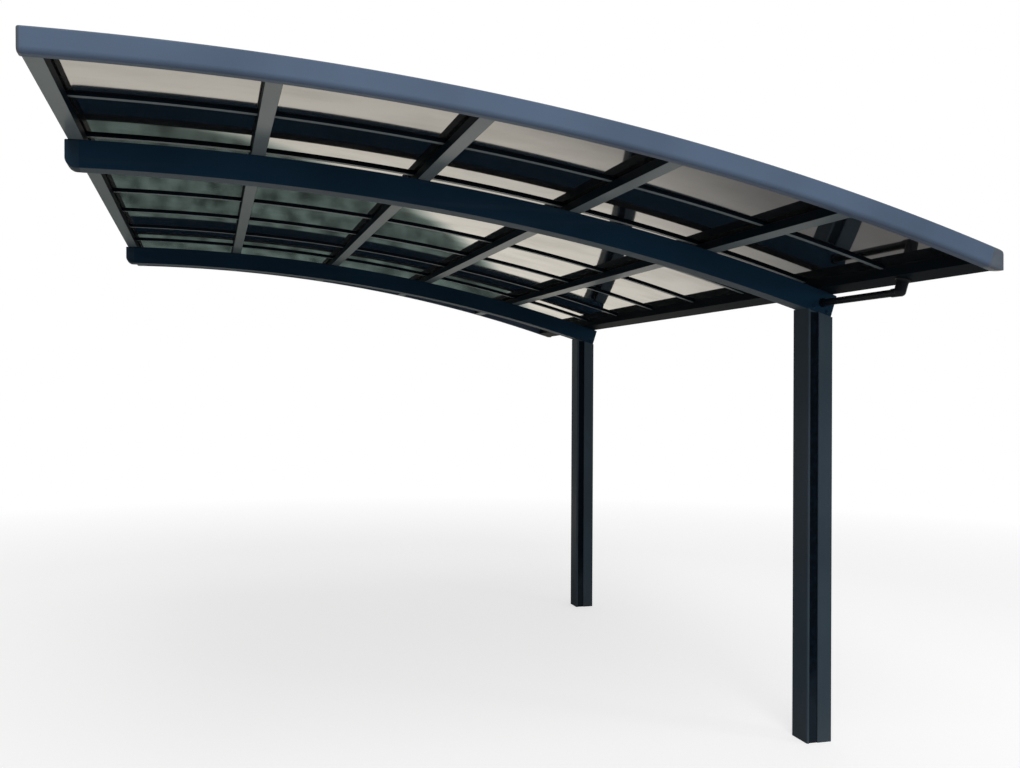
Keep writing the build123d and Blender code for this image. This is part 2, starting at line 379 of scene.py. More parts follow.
# Beams
# A rectangular aluminium tube is rolled to the arch of the roof and bolted on top of each post.
# It carries the whole roof as a cantilever. A moulded nose, rounded below, covers its tip, a flat
# cap closes its heel, and two domed bolts in each side of the heel hold it to the post.
BEAM_START = 0.040           # where the tube leaves the nose
BEAM_EDGE = 0.004
TIP_LENGTH = 0.052
TIP_ROUND = 0.040            # lower edge of the nose
TIP_BROW = 0.004             # upper edge of the nose
TIP_DROP = 0.0003            # the nose stands back from the tube by this
HEEL_CAP = 0.006
HEEL_CAP_EDGE = 0.0025
HEEL_STEP = 0.0005
BOLT_LEVEL = -0.088          # below the beam tops
BOLT_INSETS = (0.028, 0.105)     # from the heel
BOLT_RADIUS = 0.008
BOLT_HEIGHT = 0.0055
BOLT_DRIVE = 0.003           # radius of the hole for the key
BOLT_WASHER = 0.011
BOLT_WASHER_DEPTH = 0.0015
BOLT_STEPS = 20
ARCH_STEP = 0.04             # length of one step of a bent piece
# The same paint as the fascias, made darker as painted shade under the roof.
BEAM_SHADED_TONE = (0.006, 0.024, 0.048, 1)
BEAM_STREAKS = (0.05, 1, 1)
CAP_TONE = (0.006, 0.022, 0.042, 1)


def slope(arc):
    """Fall of the roof, as an angle, at a place round the beam tops from the free edge."""
    return (arc - CROWN_INSET) / BEAM_TOP


def on_arch(arc, y, level):
    """The point that lies so far round the beam tops from the free edge, and so far over them."""
    reach = BEAM_TOP + level
    return Vector((CROWN_X + reach * sin(slope(arc)), y, CENTRE_Z + reach * cos(slope(arc))))


def on_slope(arc, along, y, level):
    """A point on the flat seat that touches the beam tops at one place on the arch."""
    return on_arch(arc, y, level) + along * Vector((cos(slope(arc)), 0, -sin(slope(arc))))


def section(name, arc, side, level):
    """A plane primitive across the arch, between two sides and two levels over the beam tops."""
    bpy.ops.object.select_all(action="DESELECT")
    middle = on_arch(arc, sum(side) / 2, sum(level) / 2)
    bpy.ops.mesh.primitive_plane_add(size=1, location=middle, rotation=(0, slope(arc) + pi / 2, 0))
    bpy.context.object.name = name
    bpy.context.object.scale = (level[1] - level[0], side[1] - side[0], 1)
    bpy.ops.object.transform_apply(location=True, rotation=True, scale=True)
    bpy.ops.object.mode_set(mode="EDIT")


def roll(length):
    """Spin the section in hand round the arch by a length measured at the beam tops."""
    steps = max(1, round(length / ARCH_STEP))
    centre = (CROWN_X, 0, CENTRE_Z)
    bpy.ops.mesh.select_all(action="SELECT")
    bpy.ops.mesh.spin(steps=steps, angle=length / BEAM_TOP, center=centre, axis=(0, -1, 0))


def everywhere(vertex):
    """A test that every vertex of a section passes."""
    return True


def near(spot):
    """A test for the vertex that lies at a point."""
    return lambda v: (v.co - spot).length < MERGE_DISTANCE * 10


def round_outer_end(arc, radius):
    """Round the rim of the end face of a bent piece that lies at one place on the arch."""
    spot = on_arch(arc, 0, 0)
    along = on_arch(arc + ARCH_STEP, 0, 0) - on_arch(arc - ARCH_STEP, 0, 0)
    limit = radius / 10 * along.length
    pick("FACE", lambda f: all(abs((v.co - spot).dot(along)) < limit for v in f.verts))
    bpy.ops.mesh.bevel(offset=radius, segments=4, affect="EDGES")


def moulded_plastic(name, tone, roughness, shine=0.3):
    """Moulded plastic: fine spark-eroded grain, slightly greyed by the sun."""
    material, shader, wire = new_finish(name, {"Specular IOR Level": shine})
    place = object_place(wire)
    skin = grain(wire, place, scale=900, detail=3)
    fade = grain(wire, place, scale=14, detail=3)
    colour = blend(wire, band(wire, fade, 0.35, 0.75), tone, scaled(tone, 1.6))
    bump = relief(wire, skin, strength=0.12, depth=0.0006)
    wire.join(shader, {"Base Color": colour, "Roughness": roughness + fade * 0.14, "Normal": bump})
    return material


def turned(name, points, foot, axis, steps):
    """A turned piece: a line of (radius, distance from the foot) is spun once round an axis."""
    across = axis.orthogonal().normalized()
    draw_line(name, [foot + radius * across + distance * axis for radius, distance in points])
    bpy.ops.mesh.spin(steps=steps, angle=2 * pi, center=foot, axis=axis)
    return settle(soft_below=30)


def quarter(radius, centre_radius, centre_distance, start, steps=5):
    """Points of a rounded edge in a turned outline: a quarter circle from one angle on."""
    angles = [radians(start + 90 * step / steps) for step in range(steps + 1)]
    return [(centre_radius + radius * cos(a), centre_distance + radius * sin(a)) for a in angles]


beam_low, beam_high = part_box("front_beam")
beam_side = (beam_low.y, beam_high.y)
section("beam_front", BEAM_START, beam_side, (-BEAM_DEPTH, 0))
round_corners(BEAM_EDGE, segments=4, test=everywhere)
roll(BEAM_END - HEEL_CAP - BEAM_START)
beam = settle()

nose_y = beam_side[0] + TIP_DROP
nose_width = beam_side[1] - beam_side[0] - 2 * TIP_DROP
nose_low = TIP_DROP - BEAM_DEPTH
nose_points = [(0, nose_low), (-TIP_LENGTH, nose_low), (-TIP_LENGTH, -TIP_DROP), (0, -TIP_DROP)]
draw("beam_nose_front", [on_slope(BEAM_START, along, nose_y, level) for along, level in nose_points])
round_corners(TIP_ROUND, segments=12, test=near(on_slope(BEAM_START, -TIP_LENGTH, nose_y, nose_low)))
round_corners(TIP_BROW, segments=4, test=near(on_slope(BEAM_START, -TIP_LENGTH, nose_y, -TIP_DROP)))
pull((0, nose_width, 0))
joint = on_arch(BEAM_START, 0, 0)
tangent = on_slope(BEAM_START, 1, 0, 0) - joint


def meets_tube(edge):
    """Whether an edge of the nose lies in the face that stands against the tube."""
    return all(abs((v.co - joint).dot(tangent)) < MERGE_DISTANCE for v in edge.verts)


pick("EDGE", lambda e: e.verts[0].co.y == e.verts[1].co.y and not meets_tube(e))
bpy.ops.mesh.bevel(offset=BEAM_EDGE, segments=4, affect="EDGES")
nose = settle()

heel_side = (beam_side[0] + HEEL_STEP, beam_side[1] - HEEL_STEP)
section("beam_heel_cap_front", BEAM_END - HEEL_CAP, heel_side, (-BEAM_DEPTH + HEEL_STEP, -HEEL_STEP))
round_corners(BEAM_EDGE, segments=4, test=everywhere)
roll(HEEL_CAP)
round_outer_end(BEAM_END, HEEL_CAP_EDGE)
heel = settle()

crown = BOLT_HEIGHT - BOLT_WASHER_DEPTH
bolt_line = [(0, -BOLT_WASHER_DEPTH), (BOLT_WASHER, -BOLT_WASHER_DEPTH), (BOLT_WASHER, BOLT_WASHER_DEPTH)]
bolt_line += [(BOLT_RADIUS, BOLT_WASHER_DEPTH)]
bolt_line += quarter(crown, BOLT_RADIUS - crown, BOLT_WASHER_DEPTH, 0)
bolt_line += [(BOLT_DRIVE, BOLT_HEIGHT), (BOLT_DRIVE, BOLT_HEIGHT / 2), (0, BOLT_HEIGHT / 2)]
bolts = []
for inset in BOLT_INSETS:
    for side_y, out in ((beam_side[0], -1), (beam_side[1], 1)):
        foot = on_arch(BEAM_END - inset, side_y, BOLT_LEVEL)
        bolts.append(turned("beam_bolts_front", bolt_line, foot, Vector((0, out, 0)), BOLT_STEPS))
bolts = joined(bolts)

# Beam undersides are painted a little paler, as painted light from the ground.
beam_coat = powder_coat("beam_coat", BEAM_SHADED_TONE, BEAM_STREAKS, shine=0.1, roughness=0.5, painted_bounce=0.3)
cap_finish = moulded_plastic("cap_plastic", CAP_TONE, roughness=0.5)
rear_beam = copy_of(beam, "beam_rear", POST_SHIFT)
rear_nose = copy_of(nose, "beam_nose_rear", POST_SHIFT)
rear_heel = copy_of(heel, "beam_heel_cap_rear", POST_SHIFT)
rear_bolts = copy_of(bolts, "beam_bolts_rear", POST_SHIFT)
for piece in (bolts, rear_bolts):
    fit(piece, beam_coat, "coated_aluminium")
for end, tube, tip, back in (("front", beam, nose, heel), ("rear", rear_beam, rear_nose, rear_heel)):
    fit(tube, beam_coat, "coated_aluminium", f"{end}_beam")
    fit(tip, cap_finish, "moulded_cap", f"{end}_beam_tip_cap")
    fit(back, cap_finish, "moulded_cap", f"{end}_beam_heel_cap")


# Purlins and edge rail
# Straight box extrusions lie along the roof on top of the beams, at equal steps round the arch.
# The outermost one, at the free edge, has an upstand and a lip that close the ends of the sheets.
PURLIN_WIDTH = 0.056
PURLIN_DEPTH = 0.040
PURLIN_EDGE = 0.003
RAIL_WIDTH = 0.058
RAIL_WALL = 0.005
RAIL_LIP = 0.026             # reach of the lip over the sheets
RAIL_EDGE = 0.0015
LIP_LEVEL = 0.0535           # underside of the lip, over the beam tops
PURLIN_COUNT = 4
# The same paint as the fascias, made much darker as painted shade under the roof.
PURLIN_SHADED_TONE = (0.004, 0.009, 0.015, 1)
PURLIN_STREAKS = (1, 0.05, 1)

roof_low, roof_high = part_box("purlin_1")
ROOF_RUN = Vector((0, roof_high.y - roof_low.y, 0))
PURLIN_SIZE = (PURLIN_WIDTH, ROOF_RUN.y, PURLIN_DEPTH)
# Purlin, rail and carrier undersides are painted much paler, as painted light from the ground.
purlin_coat = powder_coat("purlin_coat", PURLIN_SHADED_TONE, PURLIN_STREAKS, shine=0.03, roughness=0.5,
                          painted_bounce=0.8, gloss_under=0.5)
for number in range(1, PURLIN_COUNT + 1):
    low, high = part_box(f"purlin_{number}")
    middle = (low + high) / 2
    fall = atan2(middle.x - CROWN_X, middle.z - CENTRE_Z)
    purlin = bar(f"purlin_bar_{number}", middle, PURLIN_SIZE, PURLIN_EDGE, segments=4, fall=fall)
    fit(purlin, purlin_coat, "coated_aluminium", f"purlin_{number}")

half = RAIL_WIDTH / 2
inner = RAIL_WALL - half
rail_points = [(-half, 0), (half, 0), (half, PURLIN_DEPTH), (inner, PURLIN_DEPTH), (inner, LIP_LEVEL)]
rail_top = LIP_LEVEL + RAIL_WALL
rail_points += [(RAIL_LIP - half, LIP_LEVEL), (RAIL_LIP - half, rail_top), (-half, rail_top)]
draw("rail", [on_slope(half, along, roof_low.y, level) for along, level in rail_points])
round_corners(RAIL_EDGE, segments=3, test=everywhere)
pull(ROOF_RUN)
fit(settle(), purlin_coat, "coated_aluminium", "edge_rail")


# Gutter
# An extruded channel along the low ends of the beams takes the water from all the sheets.
# Its inner wall ends under the sheets, and its outer wall is stiffened by a turned-in lip.
GUTTER_WIDTH = 0.090
GUTTER_WALL = 0.003
GUTTER_HEIGHT = 0.070
GUTTER_LIP = 0.012
GUTTER_EDGE = 0.0012
INNER_WALL = 0.0498          # height of the inner wall
GUTTER_TONE = (0.006, 0.010, 0.014, 1)
ROOF_ARC = 3.435             # free edge to the outer side of the gutter
GUTTER_ARC = ROOF_ARC - GUTTER_WIDTH / 2

half = GUTTER_WIDTH / 2
wall = half - GUTTER_WALL
rim = GUTTER_HEIGHT - GUTTER_WALL
gutter_points = [(-half, 0), (half, 0), (half, GUTTER_HEIGHT), (half - GUTTER_LIP, GUTTER_HEIGHT)]
gutter_points += [(half - GUTTER_LIP, rim), (wall, rim), (wall, GUTTER_WALL), (-wall, GUTTER_WALL)]
gutter_points += [(-wall, INNER_WALL), (-half, INNER_WALL)]
draw("gutter_channel", [on_slope(GUTTER_ARC, along, roof_low.y, level) for along, level in gutter_points])
round_corners(GUTTER_EDGE, segments=2, test=everywhere)
pull(ROOF_RUN)
gutter_coat = powder_coat("gutter_coat", GUTTER_TONE, PURLIN_STREAKS, shine=0.05, roughness=0.6)
fit(settle(), gutter_coat, "coated_aluminium", "gutter")


# Drain
# A moulded cup under the gutter floor collects the water, and a plastic pipe leads it to the beam.
# The pipe sits in a socket on the cup and enters the beam through a rubber collar.
CUP_RADIUS = 0.025
CUP_LENGTH = 0.074
CUP_EDGE = 0.019
FLANGE_RADIUS = 0.033
FLANGE_DEPTH = 0.004
FLARE = 0.016                # hollow curve between the flange and the cup
FLARE_STEPS = 6
PIPE_RADIUS = 0.016
PIPE_DROP = 0.057            # gutter floor to the middle of the pipe
SOCKET_RADIUS = 0.019
SOCKET_LENGTH = 0.026
SOCKET_EDGE = 0.0015
COLLAR_RADIUS = 0.021
COLLAR_LENGTH = 0.009
TURN_STEPS = 40
DRAIN_TONE = (0.004, 0.006, 0.009, 1)

drain_finish = moulded_plastic("drain_plastic", DRAIN_TONE, roughness=0.4)
cup_low, cup_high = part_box("drain_outlet")
cup_y = (cup_low.y + cup_high.y) / 2
down = on_arch(GUTTER_ARC, 0, 0) - on_arch(GUTTER_ARC, 0, 1)
cup_line = [(0, 0), (FLANGE_RADIUS, 0), (FLANGE_RADIUS, FLANGE_DEPTH)]
flare_width = FLANGE_RADIUS - CUP_RADIUS
for step in range(FLARE_STEPS + 1):
    angle = radians(90 * step / FLARE_STEPS)
    cup_line.append((FLANGE_RADIUS - flare_width * sin(angle), FLANGE_DEPTH + FLARE * (1 - cos(angle))))
cup_line += quarter(CUP_EDGE, CUP_RADIUS - CUP_EDGE, CUP_LENGTH - CUP_EDGE, 0) + [(0, CUP_LENGTH)]
cup = turned("drain_cup", cup_line, on_arch(GUTTER_ARC, cup_y, 0), down, TURN_STEPS)
fit(cup, drain_finish, "drain_plastic", "drain_outlet")

pipe_foot = on_arch(GUTTER_ARC, cup_y, -PIPE_DROP)
pipe_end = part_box("drain_pipe")[1].y - cup_y
socket_end = CUP_RADIUS + SOCKET_LENGTH
pipe_line = [(0, 0), (SOCKET_RADIUS, 0)]
pipe_line += quarter(SOCKET_EDGE, SOCKET_RADIUS - SOCKET_EDGE, socket_end - SOCKET_EDGE, 0)
pipe_line += [(PIPE_RADIUS, socket_end), (PIPE_RADIUS, pipe_end), (0, pipe_end)]
pipe = turned("pipe", pipe_line, pipe_foot, Vector((0, 1, 0)), TURN_STEPS)
fit(pipe, drain_finish, "drain_plastic", "drain_pipe")
bead = COLLAR_LENGTH / 2
collar_line = [(PIPE_RADIUS, 0)] + quarter(bead, COLLAR_RADIUS - bead, bead, -90)
collar_line += quarter(bead, COLLAR_RADIUS - bead, bead, 0) + [(PIPE_RADIUS, COLLAR_LENGTH)]
collar_foot = pipe_foot + Vector((0, pipe_end - COLLAR_LENGTH, 0))
collar = turned("pipe_collar", collar_line, collar_foot, Vector((0, 1, 0)), TURN_STEPS)
fit(collar, rubber_finish, "drain_plastic")


# Sheets
# Nine tinted polycarbonate sheets, 3 mm thick, are bent over the purlins between the battens.
# They are nearly opaque along the slope, and their glossy underside mirrors the frame.
PANEL_COUNT = 9
SHEET_LEVEL = 0.0501         # underside of the sheets, over the beam tops
SHEET_THICKNESS = 0.003
SHEET_START = 0.008
SHEET_OVERHANG = 0.025       # reach of the sheets over the gutter
SHEET_END = ROOF_ARC - GUTTER_WIDTH + SHEET_OVERHANG
SHEET_TONE = (0.0045, 0.0055, 0.007, 1)
SHEET_DUST = (0.20, 0.19, 0.17, 1)
SHEET_CLEAREST = 0.74        # share of light stopped by one face, seen square on
SHEET_DENSEST = 0.97         # the same, seen along the sheet
SHEET_LYING_DUST = 0.3
SHEET_HAZE = 0.4             # share of the gloss lost in hazy patches


def smoked_sheet(name):
    """Smoked polycarbonate: a dark clear body, gloss with long waves, dust lying on the top side."""
    gloss = {"IOR": 1.585, "Specular IOR Level": 1.0, "Specular Tint": (1, 0.84, 0.66, 1)}
    coat = {"Coat IOR": 1.6, "Coat Roughness": 0.03}
    material, shader, wire = new_finish(name, gloss | coat)
    place = object_place(wire)
    grazing = wire.add("ShaderNodeLayerWeight", {}, {"Blend": 0.5}, "Facing")
    waves = grain(wire, place, scale=2.2, detail=1, stretch=(1, 1.6, 1))
    specks = grain(wire, place, scale=60, detail=6)
    runs = grain(wire, place, scale=22, detail=4, stretch=(0.06, 1, 0.06))
    haze = grain(wire, place, scale=5, detail=5, stretch=(0.5, 1, 1))
    lying = band(wire, facing_up(wire), 0.2, 0.6) * band(wire, specks + runs, 0.85, 1.45) * SHEET_LYING_DUST
    colour = blend(wire, lying, SHEET_TONE, SHEET_DUST)
    bump = relief(wire, waves, strength=0.03, depth=0.02)
    clear = SHEET_CLEAREST + band(wire, grazing, 0.2, 0.7) * (SHEET_DENSEST - SHEET_CLEAREST)
    alpha = clear + lying * (1 - SHEET_DENSEST)
    rough = 0.04 + lying * 0.5 + specks * 0.02
    wire.join(shader, {"Base Color": colour, "Roughness": rough, "Alpha": alpha, "Normal": bump})
    wire.join(shader, {"Coat Weight": 1 - band(wire, haze, 0.42, 0.72) * SHEET_HAZE})
    return material


sheet_finish = smoked_sheet("smoked_sheet")
for number in range(1, PANEL_COUNT + 1):
    low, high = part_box(f"panel_{number}")
    section(f"sheet_{number}", SHEET_START, (low.y, high.y), (SHEET_LEVEL, SHEET_LEVEL + SHEET_THICKNESS))
    roll(SHEET_END - SHEET_START)
    fit(settle(soft_below=20), sheet_finish, "roof_sheet", f"panel_{number}")


# Battens
# Each joint between two sheets has an extruded carrier below and a cover above, drawn together by
# screws through the joint. Black rubber gaskets show as thin lines along both sides of each.
CARRIER_WIDTH = 0.030
CARRIER_LEVEL = 0.0401
CARRIER_EDGE = 0.002
COVER_WIDTH = 0.040
COVER_LEVEL = 0.0534
COVER_DEPTH = 0.008
COVER_EDGE = 0.0028
BATTEN_START = 0.029
BATTEN_GAP = 0.003           # between the battens and the gutter
BATTEN_END = ROOF_ARC - GUTTER_WIDTH - BATTEN_GAP
GASKET_LIP = 0.0015          # how far a gasket shows beside its carrier or cover
GASKET_DEPTH = 0.0016
GASKET_GAP = 0.0002
SCREW_PITCH = 0.31
SCREW_RADIUS = 0.0055
SCREW_HEIGHT = 0.0032
DRIVE_RADIUS = 0.002         # hole for the key
WASHER_RADIUS = 0.0085
WASHER_DEPTH = 0.0012
SCREW_STEPS = 14
BATTEN_COUNT = PANEL_COUNT - 1
COVER_TONE = (0.016, 0.020, 0.025, 1)
COVER_STREAKS = (0.06, 1, 1)
STEEL_TONE = (0.30, 0.30, 0.29, 1)


def around(middle, width):
    """The two sides of a strip."""
    return middle - width / 2, middle + width / 2


def strip(name, middle_y, width, level, edge, rounded):
    """A rectangular strip bent over the roof, with the corners that pass a test rounded."""
    section(name, BATTEN_START, around(middle_y, width), level)
    if edge:
        round_corners(edge, segments=3, test=rounded)
    roll(BATTEN_END - BATTEN_START)
    return settle()


def above(level):
    """A test for the vertices of a section that lie over a level."""
    limit = BEAM_TOP + level
    return lambda v: sqrt((v.co.x - CROWN_X) ** 2 + (v.co.z - CENTRE_Z) ** 2) > limit


def below(level):
    """A test for the vertices of a section that lie under a level."""
    over = above(level)
    return lambda v: not over(v)


def steel(name, tone):
    """Stainless steel: brushed by handling, dulled by weather."""
    material, shader, wire = new_finish(name, {"Metallic": 0.9})
    place = object_place(wire)
    scuff = grain(wire, place, scale=300, detail=4)
    dull = grain(wire, place, scale=60, detail=3)
    colour = blend(wire, band(wire, dull, 0.35, 0.7), tone, scaled(tone, 0.6))
    bump = relief(wire, scuff, strength=0.1, depth=0.0003)
    wire.join(shader, {"Base Color": colour, "Roughness": 0.32 + dull * 0.2, "Normal": bump})
    return material


cover_coat = powder_coat("cover_coat", COVER_TONE, COVER_STREAKS, shine=0.4, roughness=0.34)
steel_finish = steel("screw_steel", STEEL_TONE)
batten_low, batten_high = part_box("batten_1")
first_y = (batten_low.y + batten_high.y) / 2
carrier_top = SHEET_LEVEL - GASKET_GAP
sheet_top = SHEET_LEVEL + SHEET_THICKNESS
cover_top = COVER_LEVEL + COVER_DEPTH
lower_half = below((CARRIER_LEVEL + carrier_top) / 2)
upper_half = above((COVER_LEVEL + cover_top) / 2)
carrier = strip("carrier_1", first_y, CARRIER_WIDTH, (CARRIER_LEVEL, carrier_top), CARRIER_EDGE, lower_half)
cover = strip("cover_1", first_y, COVER_WIDTH, (COVER_LEVEL, cover_top), COVER_EDGE, upper_half)
low_gasket_level = (carrier_top - GASKET_DEPTH, carrier_top + GASKET_GAP / 2)
low_gasket = strip("low_gasket_1", first_y, CARRIER_WIDTH + 2 * GASKET_LIP, low_gasket_level, 0, None)
top_gasket_level = (sheet_top + GASKET_GAP / 2, sheet_top + GASKET_DEPTH)
top_gasket = strip("top_gasket_1", first_y, COVER_WIDTH + 2 * GASKET_LIP, top_gasket_level, 0, None)

screw_line = [(0, -WASHER_DEPTH), (WASHER_RADIUS, -WASHER_DEPTH), (WASHER_RADIUS, WASHER_DEPTH)]
dome = SCREW_HEIGHT - WASHER_DEPTH
screw_line += [(SCREW_RADIUS, WASHER_DEPTH)] + quarter(dome, SCREW_RADIUS - dome, WASHER_DEPTH, 0, 3)
screw_line += [(DRIVE_RADIUS, SCREW_HEIGHT), (DRIVE_RADIUS, SCREW_HEIGHT / 2), (0, SCREW_HEIGHT / 2)]
screw_count = int((BATTEN_END - BATTEN_START) / SCREW_PITCH)
first_screw_arc = (BATTEN_START + BATTEN_END - (screw_count - 1) * SCREW_PITCH) / 2
up = on_arch(first_screw_arc, 0, 1) - on_arch(first_screw_arc, 0, 0)
screw = turned("cover_screws_1", screw_line, on_arch(first_screw_arc, first_y, cover_top), up, SCREW_STEPS)
arch_centre = Matrix.Translation((CROWN_X, 0, CENTRE_Z))
row = [screw]
for number in range(1, screw_count):
    swing = Matrix.Rotation(number * SCREW_PITCH / BEAM_TOP, 4, "Y")
    row.append(copy_of(screw, f"cover_screw_{number}", arch_centre @ swing @ arch_centre.inverted()))
screws = joined(row)

batten_pieces = {
    "carrier": (carrier, purlin_coat, "coated_aluminium"),
    "low_gasket": (low_gasket, rubber_finish, "coated_aluminium"),
    "top_gasket": (top_gasket, rubber_finish, "coated_aluminium"),
    "cover": (cover, cover_coat, "coated_aluminium"),
    "cover_screws": (screws, steel_finish, "coated_aluminium"),
}
for number in range(BATTEN_COUNT, 0, -1):
    low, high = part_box(f"batten_{number}")
    move = Matrix.Translation((0, (low.y + high.y) / 2 - first_y, 0))
    for name, (piece, finish, slot) in batten_pieces.items():
        placed = piece if number == 1 else copy_of(piece, f"{name}_{number}", move)
        replaced = [f"batten_{number}"] if name == "carrier" else []
        fit(placed, finish, slot, *replaced)


# Fascias
# A broad rolled extrusion closes each end of the roof, with a flat face and rounded edges. The end
# sheets sit in a slot in its back. Moulded caps close its ends: a short one at the free edge, and a
# longer one over the gutter whose end is cut plumb, with a rounded upper corner.
FASCIA_HEIGHT = 0.078
FASCIA_DEPTH = 0.045
FASCIA_NOSE = 0.008          # rounding of the top edge of the face
FASCIA_CHIN = 0.018          # rounding of its lower edge
FASCIA_BACK = 0.002
SLOT_DEPTH = 0.021
FASCIA_CAP = 0.0094
FASCIA_CAP_EDGE = 0.0072
PLUMB_LAP = 0.042            # from where the fascia meets the cap over the gutter to the gutter's side
PLUMB_START = ROOF_ARC - PLUMB_LAP
PLUMB_REACH = 0.085          # what is rolled of this cap before its end is cut plumb
PLUMB_END = 0.1110           # the plumb outer face
PLUMB_EDGE = 0.016           # rounding of its upright edges
PLUMB_ROUND = 0.045          # rounding of its upper corner
PLUMB_CUTS = 6               # flats that make up one rounding
# The fascias, beams and purlins are one paint; this tone is paler than theirs, as painted light on the
# fascias.
FASCIA_LIT_TONE = (0.075, 0.108, 0.165, 1)
FASCIA_STREAKS = (1, 1, 0.08)
FASCIA_CAP_TONE = (0.080, 0.096, 0.120, 1)


def fascia_outline(name, arc, face_y, back_y, slot):
    """The section of a fascia at one place on the arch, with or without the slot in its back."""
    corners = [(face_y, 0), (face_y, FASCIA_HEIGHT), (back_y, FASCIA_HEIGHT)] + slot + [(back_y, 0)]
    draw(name, [on_arch(arc, y, level) for y, level in corners])
    round_corners(FASCIA_NOSE, segments=6, test=near(on_arch(arc, face_y, FASCIA_HEIGHT)))
    round_corners(FASCIA_CHIN, segments=10, test=near(on_arch(arc, face_y, 0)))
    round_corners(FASCIA_BACK, segments=2, test=near(on_arch(arc, back_y, FASCIA_HEIGHT)))


def plane_off(centre, radius, normal):
    """Cut away what lies outside a plane that touches a circle round a centre."""
    bpy.ops.mesh.select_all(action="SELECT")
    touch = centre + radius * normal
    bpy.ops.mesh.bisect(plane_co=touch, plane_no=normal, use_fill=True, clear_outer=True)


def cut_plumb(face_y, back_y):
    """Cut the rolled end of a cap plumb, and round its upper corner and its upright edges."""
    plane_off(Vector((PLUMB_END, 0, 0)), 0, Vector((1, 0, 0)))
    plane_off(on_arch(ROOF_ARC, 0, 0), 0, Vector((0, 0, -1)))
    centre_x = PLUMB_END - PLUMB_ROUND
    reach = BEAM_TOP + FASCIA_HEIGHT - PLUMB_ROUND
    centre = Vector((centre_x, 0, CENTRE_Z + sqrt(reach**2 - (centre_x - CROWN_X) ** 2)))
    start = atan2(centre_x - CROWN_X, centre.z - CENTRE_Z)
    for cut in range(PLUMB_CUTS):
        turn = start + (cut + 0.5) / PLUMB_CUTS * (pi / 2 - start)
        plane_off(centre, PLUMB_ROUND, Vector((sin(turn), 0, cos(turn))))
    for side_y in (face_y, back_y):
        out = 1 if side_y == max(face_y, back_y) else -1
        centre = Vector((PLUMB_END - PLUMB_EDGE, side_y - out * PLUMB_EDGE, 0))
        for cut in range(PLUMB_CUTS):
            turn = (cut + 0.5) / PLUMB_CUTS * pi / 2
            plane_off(centre, PLUMB_EDGE, Vector((cos(turn), out * sin(turn), 0)))


fascia_coat = powder_coat("fascia_coat", FASCIA_LIT_TONE, FASCIA_STREAKS, shine=0.2, roughness=0.38)
fascia_cap_finish = moulded_plastic("fascia_cap_plastic", FASCIA_CAP_TONE, roughness=0.12, shine=0.6)
for end, inwards in (("front", 1), ("rear", -1)):
    low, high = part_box(f"{end}_fascia")
    face_y = low.y if inwards > 0 else high.y
    back_y = face_y + inwards * FASCIA_DEPTH
    slot_y = back_y - inwards * SLOT_DEPTH
    slot = [(back_y, COVER_LEVEL), (slot_y, COVER_LEVEL), (slot_y, SHEET_LEVEL), (back_y, SHEET_LEVEL)]
    fascia_outline(f"fascia_{end}", 0, face_y, back_y, slot)
    roll(PLUMB_START)
    fit(settle(), fascia_coat, "coated_aluminium", f"{end}_fascia")
    fascia_outline(f"fascia_edge_cap_{end}", -FASCIA_CAP, face_y, back_y, [])
    roll(FASCIA_CAP)
    round_outer_end(-FASCIA_CAP, FASCIA_CAP_EDGE)
    fit(settle(), fascia_cap_finish, "moulded_cap", f"{end}_fascia_edge_cap")
    fascia_outline(f"fascia_gutter_cap_{end}", PLUMB_START, face_y, back_y, [])
    roll(PLUMB_REACH)
    cut_plumb(face_y, back_y)
    fit(settle(), fascia_cap_finish, "moulded_cap", f"{end}_fascia_gutter_cap")


# Studio
# A pale floor fades into a white backdrop under soft light, from two broad lamps in front, a small one
# beyond the posts and a weak one overhead. Gloss finds a dimmer room with a dark, uneven far end.
# The camera stands at the photo's viewing angle, in front of the free side.
EYE = Vector((-2.7828, -4.3351, 1.6589))
SENSOR_WIDTH = 36
LENS = 36.4214
YAW = radians(16.3527)
PITCH = radians(0.3118)
ROLL = radians(0.2925)
FLOOR_SIZE = 120.0
FLOOR_TONE = (0.5, 0.5, 0.5, 1)
FLOOR_GLOW = 0.66            # what the eye sees of the floor beside the light on it
ROOF_MIDDLE = (-1.6, 1.6, 0)
FADE = (5.0, 10.0)           # distances from it between which the floor turns into backdrop
AMBIENT = 0.25
ROOM = 0.3                   # what gloss mirrors on the camera's side, where white is 1
REAR_FLOOR = (-4, 4)         # along the floor, where that turns into white
REAR_SKY = (-0.4, 0.4)       # the same for directions above the floor
SIDE_WALL = 0.6              # how much darker gloss finds the sides of the room
SIDE_FLOOR = (2, 9)          # across the floor, where the side beyond the posts begins and is full
SIDE_SKY = (0.2, 0.6)        # the same for directions above the floor
OPEN_SKY = (0.12, 0.35)      # the same on the open side
NEAR_FLOOR = (4.5, 7.5)      # along the floor, where gloss begins to find it
FAR_WALL = 0.96              # how much darker gloss finds the far end of the room
FAR_FOLDS = 0.16             # what lighter folds there take off that
FAR_FLOOR = (12.2, 12.9)     # along the floor, where the far end begins
FAR_SKEW = 0.6               # the far end is nearer on the open side by this slope
WHITE = (1, 1, 1, 1)
WARM_TONE = (1, 0.95, 0.85, 1)   # the room in gloss
COOL_TONE = (0.72, 1, 0.9, 1)    # its far end
LAMPS = (                    # name, place, what it points at, size in metres, watts
    ("front_lamp", Vector((-3, -7, 8.5)), Vector((-1.5, -1, 2)), 5, 380),
    ("fill_lamp", Vector((-1, -8.5, 2.6)), Vector((-1, 0, 1.6)), 3, 150),
    ("side_lamp", Vector((6.3, -5.4, 2.3)), Vector((0, -1, 2)), 1.5, 110),
    ("top_lamp", Vector((-1.5, 1.6, 9)), Vector((-1.5, 1.6, 0)), 6, 120),
)


